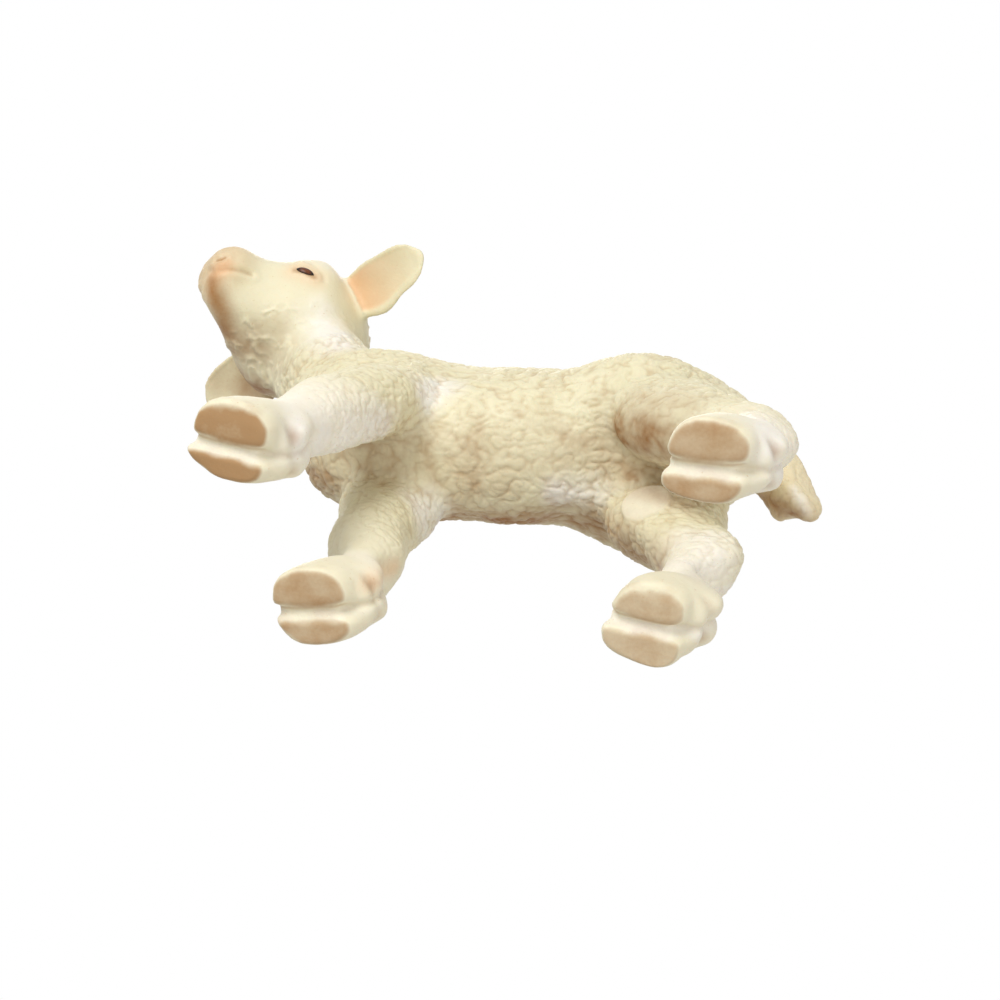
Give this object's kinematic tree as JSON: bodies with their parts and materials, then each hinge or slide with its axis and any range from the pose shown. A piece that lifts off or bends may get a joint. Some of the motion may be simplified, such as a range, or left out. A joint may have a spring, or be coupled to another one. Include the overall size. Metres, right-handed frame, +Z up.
{
  "type": "toy farm animal figure",
  "caption": "Moulded PVC lamb figure in mid-walk on four cloven hooves, head turned to its left, with fleece curls, drooping ears and a docked tail.",
  "frame": {"origin": "under the middle of the lamb's bounding box, on the surface that its hooves stand on", "axes": "+X towards the lamb's chest, +Y to the lamb's left, +Z up from the hooves to the back"},
  "size_m": [0.055, 0.0226, 0.0423],
  "materials": {
    "fleece_cream_pvc": "soft PVC moulded with short curls, satin, warm cream with a tan wash in the hollows",
    "face_cream_pvc": "smooth satin PVC, cream with airbrushed pink and peach, painted eyes",
    "leg_ivory_pvc": "satin PVC, ivory with a pale tan wash, tan-brown soles",
    "tail_tan_pvc": "satin PVC, cream under a tan wash"
  },
  "bodies": {
    "root": {"torso": "fleece_cream_pvc", "head": "face_cream_pvc", "ear_left": "face_cream_pvc", "ear_right": "face_cream_pvc", "foreleg_left": "leg_ivory_pvc", "foreleg_right": "leg_ivory_pvc", "hindleg_left": "leg_ivory_pvc", "hindleg_right": "leg_ivory_pvc", "tail": "tail_tan_pvc"}
  },
  "joints": []
}
